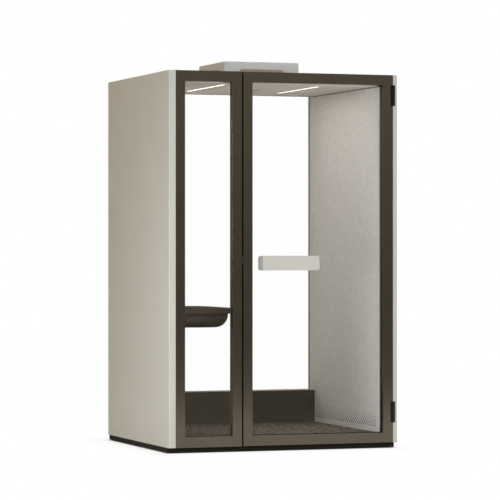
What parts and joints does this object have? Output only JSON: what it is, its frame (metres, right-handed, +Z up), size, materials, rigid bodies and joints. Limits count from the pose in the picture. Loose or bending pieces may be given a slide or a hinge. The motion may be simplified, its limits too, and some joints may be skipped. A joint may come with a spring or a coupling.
{
  "type": "acoustic office pod",
  "caption": "Upright sound-insulated office cabin for one person: glazed front with outward door, glazed rear, felt-lined walls, wall desk, carpet and roof ventilation unit.",
  "frame": {"origin": "on the ground under the middle of the overall box", "axes": "+Z up, the glazed front with the door faces -Y, the desk is on the -X side"},
  "size_m": [1.4, 1.262, 2.262],
  "materials": {
    "plinth_board": "matte",
    "black_plastic": "matte",
    "shell_paint": "matte",
    "acoustic_core": "matte",
    "wall_felt": "matte",
    "deck_board": "matte",
    "carpet": "matte",
    "ceiling_board": "matte",
    "roof_board": "matte",
    "light_diffuser": "satin",
    "frame_paint": "satin",
    "stop_profile": "satin",
    "clear_glass": "polished",
    "black_rubber": "matte",
    "handle_shell": "satin",
    "bright_steel": "satin",
    "hinge_black": "satin",
    "dark_board": "satin",
    "vent_shell": "satin",
    "button_plastic": "satin"
  },
  "bodies": {
    "cabin": {"base_plinth": "plinth_board", "levelling_foot_front_left": "black_plastic", "levelling_foot_front_right": "black_plastic", "levelling_foot_rear_left": "black_plastic", "levelling_foot_rear_right": "black_plastic", "left_outer_skin": "shell_paint", "right_outer_skin": "shell_paint", "left_wall_core": "acoustic_core", "right_wall_core": "acoustic_core", "left_felt_lining": "wall_felt", "right_felt_lining": "wall_felt", "floor_deck": "deck_board", "floor_carpet": "carpet", "ceiling_panel": "ceiling_board", "roof_core": "acoustic_core", "roof_cover": "roof_board", "left_light": "light_diffuser", "right_light": "light_diffuser", "fixed_left_stile": "frame_paint", "mullion": "frame_paint", "fixed_top_rail": "frame_paint", "fixed_bottom_rail": "frame_paint", "fixed_glass": "clear_glass", "fixed_gasket": "black_rubber", "hinge_jamb": "stop_profile", "door_header": "stop_profile", "door_threshold": "stop_profile", "door_seal": "black_rubber", "catch_magnet": "black_plastic", "upper_hinge_frame_leaf": "hinge_black", "upper_hinge_pin": "bright_steel", "lower_hinge_frame_leaf": "hinge_black", "lower_hinge_pin": "bright_steel", "rear_left_stile": "shell_paint", "rear_right_stile": "shell_paint", "rear_top_rail": "shell_paint", "rear_sill_rail": "shell_paint", "rear_glass": "clear_glass", "rear_gasket": "black_rubber", "rear_kick_panel": "dark_board", "rear_duct_cover": "frame_paint", "power_inlet": "black_plastic", "vent_housing": "vent_shell", "vent_fan_frame": "black_plastic", "desk_top": "dark_board", "desk_console": "dark_board", "control_plate": "black_plastic"},
    "door": {"door_lock_stile": "frame_paint", "door_hinge_stile": "frame_paint", "door_top_rail": "frame_paint", "door_bottom_rail": "frame_paint", "door_glass": "clear_glass", "door_gasket": "black_rubber", "door_handle": "handle_shell", "door_inner_pull": "handle_shell", "door_catch_plate": "bright_steel", "upper_hinge_door_leaf": "hinge_black", "lower_hinge_door_leaf": "hinge_black"},
    "fan_wheel": {"vent_fan_rotor": "black_plastic"},
    "push_button": {"control_button": "button_plastic"}
  },
  "joints": [
    {"name": "door_hinge", "type": "hinge", "parent": "cabin", "child": "door", "pos_m": [0.671, -0.5913, 1.1], "axis": [0, 0, 1], "range_deg": [0, 110]},
    {"name": "fan_spin", "type": "hinge", "parent": "cabin", "child": "fan_wheel", "pos_m": [0, 0.0435, 2.2], "axis": [0, 0, 1], "continuous": true},
    {"name": "button_press", "type": "slide", "parent": "cabin", "child": "push_button", "axis": [-1, 0, 0], "range_m": [0, 0.002], "stiffness_N_per_m": 400, "springref_m": -0.002}
  ]
}
